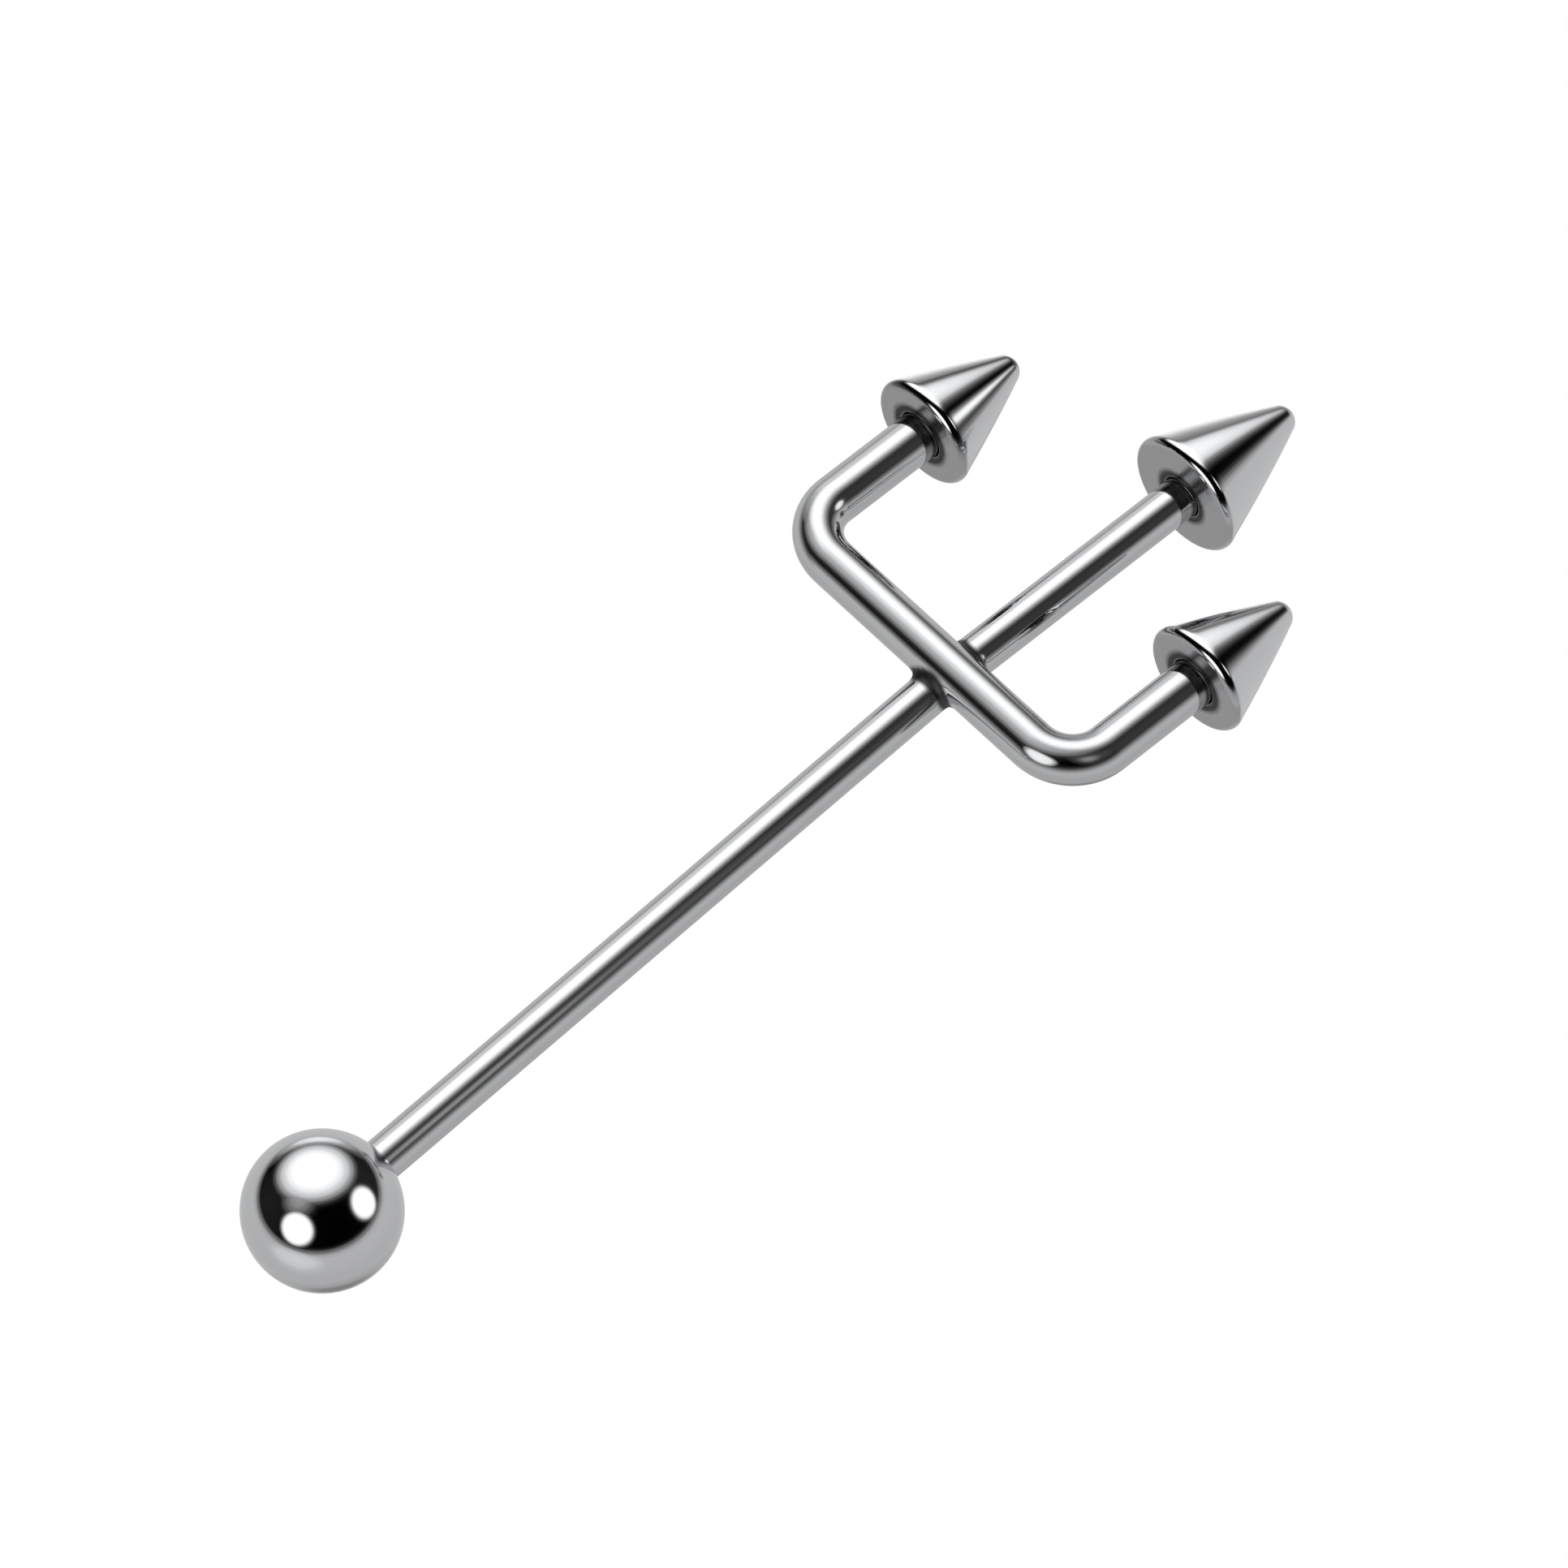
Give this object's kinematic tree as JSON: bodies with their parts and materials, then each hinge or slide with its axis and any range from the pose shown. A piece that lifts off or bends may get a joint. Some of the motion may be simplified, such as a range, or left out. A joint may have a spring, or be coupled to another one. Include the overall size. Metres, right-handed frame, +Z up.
{
  "type": "industrial barbell",
  "caption": "Long straight piercing barbell with a screw-on ball at one end and a trident fork of screw-on cone spikes at the other.",
  "frame": {"origin": "on the table under the middle of the barbell as it lies", "axes": "+X along the shank from the ball towards the spikes, +Y to the trident's left, +Z up"},
  "size_m": [0.0518, 0.0183, 0.006],
  "materials": {
    "rod_steel": "mirror-polished surgical steel rod and wire, with faint drawing and polishing lines",
    "ball_steel": "mirror-polished surgical steel ball",
    "cone_steel": "mirror-polished surgical steel cone, with faint turning lines"
  },
  "bodies": {
    "bar": {"bar": "rod_steel"},
    "ball": {"ball": "ball_steel"},
    "cone_centre": {"cone_centre": "cone_steel"},
    "cone_left": {"cone_left": "cone_steel"},
    "cone_right": {"cone_right": "cone_steel"}
  },
  "joints": [
    {"name": "ball_off", "type": "slide", "parent": "bar", "child": "ball", "axis": [-0.9999, 0.0007, 0.0118], "range_m": [0, 0.008]},
    {"name": "centre_cone_off", "type": "slide", "parent": "bar", "child": "cone_centre", "axis": [0.9989, -0.0475, -0.0064], "range_m": [0, 0.006]},
    {"name": "left_cone_off", "type": "slide", "parent": "bar", "child": "cone_left", "axis": [0.9989, -0.0475, -0.0064], "range_m": [0, 0.006]},
    {"name": "right_cone_off", "type": "slide", "parent": "bar", "child": "cone_right", "axis": [0.9989, -0.0475, -0.0064], "range_m": [0, 0.006]}
  ]
}
